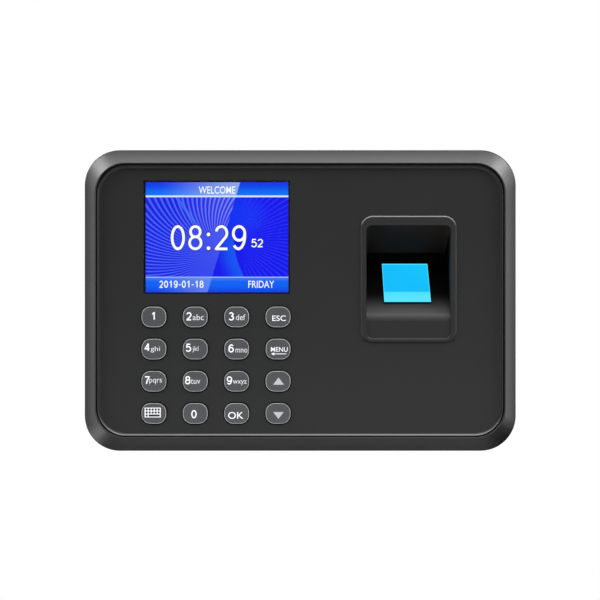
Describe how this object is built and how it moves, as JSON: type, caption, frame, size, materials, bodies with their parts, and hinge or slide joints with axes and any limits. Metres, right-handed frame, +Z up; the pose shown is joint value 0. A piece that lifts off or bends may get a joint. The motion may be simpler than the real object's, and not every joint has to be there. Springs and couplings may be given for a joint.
{
  "type": "fingerprint time clock terminal",
  "caption": "Wall-mounted fingerprint terminal: bevelled dark case, sunken panel with blue screen, keypad of rounded press keys and a finger well with a lit, tilted sensor window.",
  "frame": {"origin": "centre of the wall plate's rear face, on the wall", "axes": "+X to the viewer's right, +Y into the wall, +Z up; the front faces -Y"},
  "size_m": [0.174, 0.036, 0.1214],
  "materials": {
    "case": "satin fine texture",
    "back_case": "matt fine texture",
    "well": "satin fine texture",
    "key": "smoky translucent",
    "window": "clear, polished",
    "foam": "fine foam",
    "display": "lit blue picture",
    "light_guide": "white light guide",
    "tray_steel": "thin pressed sheet",
    "flex": "amber film",
    "silicone": "translucent silicone",
    "sensor_glass": "lit from behind, glossy",
    "prism_glass": "polished",
    "housing": "matt black",
    "circuit_board": "green solder mask",
    "chip": "moulded epoxy with tinned legs",
    "lamp": "clear lamp body",
    "can": "sleeved can",
    "crystal_can": "plated can",
    "cell": "nickel plated",
    "socket": "cream nylon",
    "black_plastic": "satin black",
    "port_steel": "plated shell",
    "plate_steel": "dark powder coat",
    "screw_steel": "zinc plated",
    "speaker_steel": "black coated",
    "cone": "pressed paper",
    "lead": "insulated wire"
  },
  "bodies": {
    "terminal": {"front_cover": "case", "back_cover": "back_case", "finger_well": "well", "display_window": "window", "display_gasket": "foam", "display_glass": "display", "backlight": "light_guide", "display_tray": "tray_steel", "display_flex": "flex", "keypad_mat": "silicone", "sensor_window": "sensor_glass", "sensor_prism": "prism_glass", "sensor_housing": "housing", "sensor_lens": "housing", "main_board": "circuit_board", "sensor_camera_board": "circuit_board", "sensor_light_board": "circuit_board", "board_chips": "chip", "sensor_lamps": "lamp", "capacitors": "can", "crystal": "crystal_can", "coin_cell": "cell", "board_sockets": "socket", "sensor_connector": "socket", "cell_holder": "black_plastic", "network_jack": "black_plastic", "power_jack": "black_plastic", "reset_switch": "black_plastic", "usb_port": "port_steel", "wall_plate": "plate_steel", "case_screws": "screw_steel", "lock_screw": "screw_steel", "board_screws": "screw_steel", "sensor_screws": "screw_steel", "speaker_frame": "speaker_steel", "speaker_cone": "cone", "speaker_leads": "lead", "sensor_cable": "lead"},
    "key_1_body": {"key_1": "key"},
    "key_2_body": {"key_2": "key"},
    "key_3_body": {"key_3": "key"},
    "key_esc_body": {"key_esc": "key"},
    "key_4_body": {"key_4": "key"},
    "key_5_body": {"key_5": "key"},
    "key_6_body": {"key_6": "key"},
    "key_menu_body": {"key_menu": "key"},
    "key_7_body": {"key_7": "key"},
    "key_8_body": {"key_8": "key"},
    "key_9_body": {"key_9": "key"},
    "key_up_body": {"key_up": "key"},
    "key_input_body": {"key_input": "key"},
    "key_0_body": {"key_0": "key"},
    "key_ok_body": {"key_ok": "key"},
    "key_down_body": {"key_down": "key"},
    "reset_button_body": {"reset_button": "black_plastic"}
  },
  "joints": [
    {"name": "key_1_press", "type": "slide", "parent": "terminal", "child": "key_1_body", "axis": [0, 1, 0], "range_m": [0, 0.001], "stiffness_N_per_m": 600},
    {"name": "key_2_press", "type": "slide", "parent": "terminal", "child": "key_2_body", "axis": [0, 1, 0], "range_m": [0, 0.001], "stiffness_N_per_m": 600},
    {"name": "key_3_press", "type": "slide", "parent": "terminal", "child": "key_3_body", "axis": [0, 1, 0], "range_m": [0, 0.001], "stiffness_N_per_m": 600},
    {"name": "key_esc_press", "type": "slide", "parent": "terminal", "child": "key_esc_body", "axis": [0, 1, 0], "range_m": [0, 0.001], "stiffness_N_per_m": 600},
    {"name": "key_4_press", "type": "slide", "parent": "terminal", "child": "key_4_body", "axis": [0, 1, 0], "range_m": [0, 0.001], "stiffness_N_per_m": 600},
    {"name": "key_5_press", "type": "slide", "parent": "terminal", "child": "key_5_body", "axis": [0, 1, 0], "range_m": [0, 0.001], "stiffness_N_per_m": 600},
    {"name": "key_6_press", "type": "slide", "parent": "terminal", "child": "key_6_body", "axis": [0, 1, 0], "range_m": [0, 0.001], "stiffness_N_per_m": 600},
    {"name": "key_menu_press", "type": "slide", "parent": "terminal", "child": "key_menu_body", "axis": [0, 1, 0], "range_m": [0, 0.001], "stiffness_N_per_m": 600},
    {"name": "key_7_press", "type": "slide", "parent": "terminal", "child": "key_7_body", "axis": [0, 1, 0], "range_m": [0, 0.001], "stiffness_N_per_m": 600},
    {"name": "key_8_press", "type": "slide", "parent": "terminal", "child": "key_8_body", "axis": [0, 1, 0], "range_m": [0, 0.001], "stiffness_N_per_m": 600},
    {"name": "key_9_press", "type": "slide", "parent": "terminal", "child": "key_9_body", "axis": [0, 1, 0], "range_m": [0, 0.001], "stiffness_N_per_m": 600},
    {"name": "key_up_press", "type": "slide", "parent": "terminal", "child": "key_up_body", "axis": [0, 1, 0], "range_m": [0, 0.001], "stiffness_N_per_m": 600},
    {"name": "key_input_press", "type": "slide", "parent": "terminal", "child": "key_input_body", "axis": [0, 1, 0], "range_m": [0, 0.001], "stiffness_N_per_m": 600},
    {"name": "key_0_press", "type": "slide", "parent": "terminal", "child": "key_0_body", "axis": [0, 1, 0], "range_m": [0, 0.001], "stiffness_N_per_m": 600},
    {"name": "key_ok_press", "type": "slide", "parent": "terminal", "child": "key_ok_body", "axis": [0, 1, 0], "range_m": [0, 0.001], "stiffness_N_per_m": 600},
    {"name": "key_down_press", "type": "slide", "parent": "terminal", "child": "key_down_body", "axis": [0, 1, 0], "range_m": [0, 0.001], "stiffness_N_per_m": 600},
    {"name": "reset_press", "type": "slide", "parent": "terminal", "child": "reset_button_body", "axis": [0, 0, 1], "range_m": [0, 0.00025], "stiffness_N_per_m": 2000}
  ]
}
